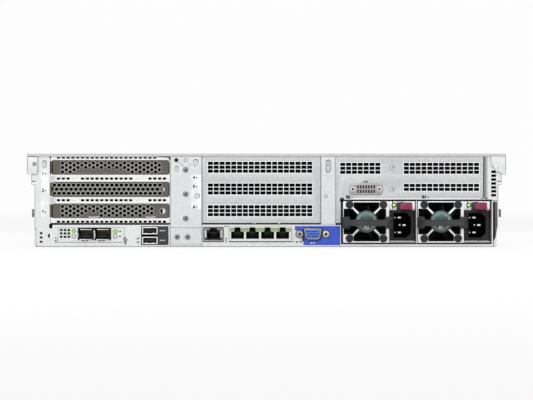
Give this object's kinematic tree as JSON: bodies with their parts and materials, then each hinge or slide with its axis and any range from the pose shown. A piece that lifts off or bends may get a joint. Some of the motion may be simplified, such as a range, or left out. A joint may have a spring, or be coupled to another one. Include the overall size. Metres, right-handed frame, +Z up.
{
  "type": "2u rack server",
  "caption": "Two-unit rack server with pull-out power supplies, perforated slot covers, ports, fans, drives, front ears and a lift-off cover with a latch.",
  "frame": {"origin": "middle of the underside of the pan", "axes": "+Z up; the rear with the ports and power supplies faces -Y, the drives and the ears +Y"},
  "size_m": [0.4826, 0.7232, 0.0873],
  "materials": {
    "zinc_sheet": "pale zinc-plated sheet, fine grain",
    "cover_sheet": "pale zinc-plated sheet, satin",
    "stainless_cover": "dark perforated stainless sheet",
    "steel_fastener": "plated steel, turned",
    "black_plastic": "moulded, fine grain",
    "black_nylon": "soft satin nylon strap",
    "dark_socket": "dark socket housing",
    "supply_case": "pale plated case",
    "fan_plastic": "glass-filled fan plastic",
    "maroon_plastic": "moulded touch point",
    "socket_metal": "plated socket shell",
    "connector_blue": "connector housing and label plate",
    "board_green": "solder-masked circuit board",
    "memory_green": "memory module board with black chips",
    "sink_aluminium": "extruded fins",
    "ear_plastic": "dark grey moulded ear",
    "carrier_grey": "drive carrier and blank plastic",
    "button_grey": "pale button cap"
  },
  "bodies": {
    "chassis": {"base_pan": "zinc_sheet", "rear_panel": "zinc_sheet", "rear_pillars": "zinc_sheet", "riser_cage": "zinc_sheet", "riser_blank": "zinc_sheet", "upper_vent_panel": "zinc_sheet", "serial_port_cover": "zinc_sheet", "psu_cage": "zinc_sheet", "front_top_panel": "cover_sheet", "drive_cage": "zinc_sheet", "fan_cage": "zinc_sheet", "slot_cover_1": "stainless_cover", "slot_cover_2": "stainless_cover", "slot_cover_3": "stainless_cover", "rail_studs": "steel_fastener", "panel_screws": "steel_fastener", "riser_board": "board_green", "system_board": "board_green", "drive_backplane": "board_green", "network_card_plate": "zinc_sheet", "sfp_cages": "socket_metal", "usb_stack": "dark_socket", "lan_jacks": "socket_metal", "vga_connector": "connector_blue", "cpu_heatsinks": "sink_aluminium", "memory_modules": "memory_green", "memory_sockets": "black_plastic", "fan_housings": "fan_plastic", "drive_blanks": "carrier_grey", "bay_blanks": "carrier_grey", "left_ear": "ear_plastic", "right_ear": "ear_plastic"},
    "top_cover": {"top_cover": "cover_sheet"},
    "cover_latch": {"cover_latch": "maroon_plastic"},
    "power_button": {"power_button": "button_grey"},
    "uid_button": {"uid_button": "button_grey"},
    "left_ear_latch": {"left_ear_latch": "carrier_grey"},
    "right_ear_latch": {"right_ear_latch": "carrier_grey"},
    "psu_1": {"psu_1_case": "supply_case", "psu_1_handle": "black_nylon", "psu_1_inlet": "black_plastic"},
    "psu_1_latch": {"psu_1_latch": "maroon_plastic"},
    "psu_1_rotor": {"psu_1_fan_rotor": "fan_plastic"},
    "psu_2": {"psu_2_case": "supply_case", "psu_2_handle": "black_nylon", "psu_2_inlet": "black_plastic"},
    "psu_2_latch": {"psu_2_latch": "maroon_plastic"},
    "psu_2_rotor": {"psu_2_fan_rotor": "fan_plastic"},
    "drive_1": {"drive_1_carrier": "carrier_grey"},
    "drive_1_lever": {"drive_1_lever": "carrier_grey"},
    "drive_1_button": {"drive_1_button": "maroon_plastic"},
    "drive_2": {"drive_2_carrier": "carrier_grey"},
    "drive_2_lever": {"drive_2_lever": "carrier_grey"},
    "drive_2_button": {"drive_2_button": "maroon_plastic"},
    "fan_rotor_1": {"fan_rotor_1": "fan_plastic"},
    "fan_rotor_2": {"fan_rotor_2": "fan_plastic"},
    "fan_rotor_3": {"fan_rotor_3": "fan_plastic"},
    "fan_rotor_4": {"fan_rotor_4": "fan_plastic"},
    "fan_rotor_5": {"fan_rotor_5": "fan_plastic"},
    "fan_rotor_6": {"fan_rotor_6": "fan_plastic"}
  },
  "joints": [
    {"name": "top_cover_lift", "type": "slide", "parent": "chassis", "child": "top_cover", "axis": [0, 0, 1], "range_m": [0, 0.14]},
    {"name": "cover_latch_hinge", "type": "hinge", "parent": "top_cover", "child": "cover_latch", "pos_m": [0, 0.1563, 0.0842], "axis": [-1, 0, 0], "range_deg": [0, 100]},
    {"name": "psu_1_slide", "type": "slide", "parent": "chassis", "child": "psu_1", "axis": [0, -1, 0], "range_m": [0, 0.19]},
    {"name": "psu_1_latch_press", "type": "slide", "parent": "psu_1", "child": "psu_1_latch", "axis": [-1, 0, 0], "range_m": [0, 0.003], "stiffness_N_per_m": 400, "springref_m": -0.001},
    {"name": "psu_1_fan_spin", "type": "hinge", "parent": "psu_1", "child": "psu_1_rotor", "pos_m": [0.1632, -0.337, 0.0238], "axis": [0, 1, 0], "continuous": true},
    {"name": "psu_2_slide", "type": "slide", "parent": "chassis", "child": "psu_2", "axis": [0, -1, 0], "range_m": [0, 0.19]},
    {"name": "psu_2_latch_press", "type": "slide", "parent": "psu_2", "child": "psu_2_latch", "axis": [-1, 0, 0], "range_m": [0, 0.003], "stiffness_N_per_m": 400, "springref_m": -0.001},
    {"name": "psu_2_fan_spin", "type": "hinge", "parent": "psu_2", "child": "psu_2_rotor", "pos_m": [0.0934, -0.337, 0.0238], "axis": [0, 1, 0], "continuous": true},
    {"name": "drive_1_slide", "type": "slide", "parent": "chassis", "child": "drive_1", "axis": [0, 1, 0], "range_m": [0, 0.12]},
    {"name": "drive_1_lever_hinge", "type": "hinge", "parent": "drive_1", "child": "drive_1_lever", "pos_m": [-0.20195, 0.3415, 0.0104], "axis": [-1, 0, 0], "range_deg": [0, 60]},
    {"name": "drive_1_button_press", "type": "slide", "parent": "drive_1", "child": "drive_1_button", "axis": [0, -1, 0], "range_m": [0, 0.002], "stiffness_N_per_m": 300, "springref_m": -0.001},
    {"name": "drive_2_slide", "type": "slide", "parent": "chassis", "child": "drive_2", "axis": [0, 1, 0], "range_m": [0, 0.12]},
    {"name": "drive_2_lever_hinge", "type": "hinge", "parent": "drive_2", "child": "drive_2_lever", "pos_m": [-0.18475, 0.3415, 0.0104], "axis": [-1, 0, 0], "range_deg": [0, 60]},
    {"name": "drive_2_button_press", "type": "slide", "parent": "drive_2", "child": "drive_2_button", "axis": [0, -1, 0], "range_m": [0, 0.002], "stiffness_N_per_m": 300, "springref_m": -0.001},
    {"name": "fan_1_spin", "type": "hinge", "parent": "chassis", "child": "fan_rotor_1", "pos_m": [-0.175, 0.122, 0.0362], "axis": [0, 1, 0], "continuous": true},
    {"name": "fan_2_spin", "type": "hinge", "parent": "chassis", "child": "fan_rotor_2", "pos_m": [-0.105, 0.122, 0.0362], "axis": [0, 1, 0], "continuous": true},
    {"name": "fan_3_spin", "type": "hinge", "parent": "chassis", "child": "fan_rotor_3", "pos_m": [-0.035, 0.122, 0.0362], "axis": [0, 1, 0], "continuous": true},
    {"name": "fan_4_spin", "type": "hinge", "parent": "chassis", "child": "fan_rotor_4", "pos_m": [0.035, 0.122, 0.0362], "axis": [0, 1, 0], "continuous": true},
    {"name": "fan_5_spin", "type": "hinge", "parent": "chassis", "child": "fan_rotor_5", "pos_m": [0.105, 0.122, 0.0362], "axis": [0, 1, 0], "continuous": true},
    {"name": "fan_6_spin", "type": "hinge", "parent": "chassis", "child": "fan_rotor_6", "pos_m": [0.175, 0.122, 0.0362], "axis": [0, 1, 0], "continuous": true},
    {"name": "power_button_press", "type": "slide", "parent": "chassis", "child": "power_button", "axis": [0, -1, 0], "range_m": [0, 0.0015], "stiffness_N_per_m": 300, "springref_m": -0.001},
    {"name": "uid_button_press", "type": "slide", "parent": "chassis", "child": "uid_button", "axis": [0, -1, 0], "range_m": [0, 0.0015], "stiffness_N_per_m": 300, "springref_m": -0.001},
    {"name": "left_ear_latch_hinge", "type": "hinge", "parent": "chassis", "child": "left_ear_latch", "pos_m": [0.2298, 0.3562, 0.0058], "axis": [-1, 0, 0], "range_deg": [0, 90]},
    {"name": "right_ear_latch_hinge", "type": "hinge", "parent": "chassis", "child": "right_ear_latch", "pos_m": [-0.2298, 0.3562, 0.0058], "axis": [-1, 0, 0], "range_deg": [0, 90]}
  ]
}
